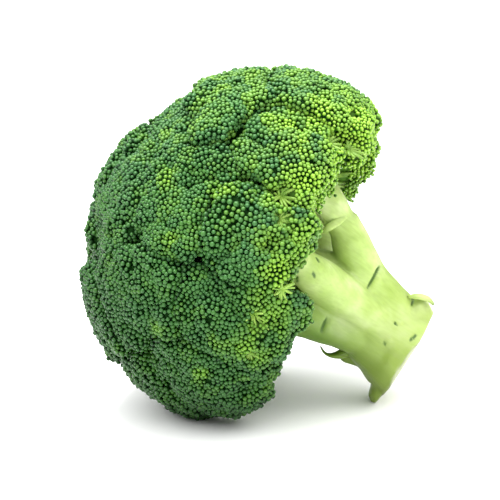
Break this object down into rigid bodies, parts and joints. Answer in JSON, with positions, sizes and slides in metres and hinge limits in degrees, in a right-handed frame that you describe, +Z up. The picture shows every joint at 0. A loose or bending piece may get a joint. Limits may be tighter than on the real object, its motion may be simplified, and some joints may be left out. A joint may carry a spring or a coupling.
{
  "type": "broccoli head",
  "caption": "Broccoli head lying on its side: a pale cut stalk that forks into branches under a domed crown of dark green florets.",
  "frame": {"origin": "centre of the bounding box in X and Y, on the surface that the head lies on", "axes": "+Z up from that surface, +X towards the cut end of the stalk, -Y towards the side that the picture shows"},
  "size_m": [0.1402, 0.1462, 0.1366],
  "materials": {
    "stalk": "waxy, smooth",
    "buds": "matte, beaded"
  },
  "bodies": {
    "root": {"stalk": "stalk", "floret_rim_01": "buds", "floret_rim_02": "buds", "floret_rim_03": "buds", "floret_rim_04": "buds", "floret_rim_05": "buds", "floret_rim_06": "buds", "floret_rim_07": "buds", "floret_rim_08": "buds", "floret_rim_09": "buds", "floret_rim_10": "buds", "floret_rim_11": "buds", "floret_rim_12": "buds", "floret_shoulder_01": "buds", "floret_shoulder_02": "buds", "floret_shoulder_03": "buds", "floret_shoulder_04": "buds", "floret_shoulder_05": "buds", "floret_shoulder_06": "buds", "floret_shoulder_07": "buds", "floret_shoulder_08": "buds", "floret_top": "buds", "floret_upper_01": "buds", "floret_upper_02": "buds", "floret_upper_03": "buds", "floret_upper_04": "buds", "floret_upper_05": "buds"}
  },
  "joints": []
}
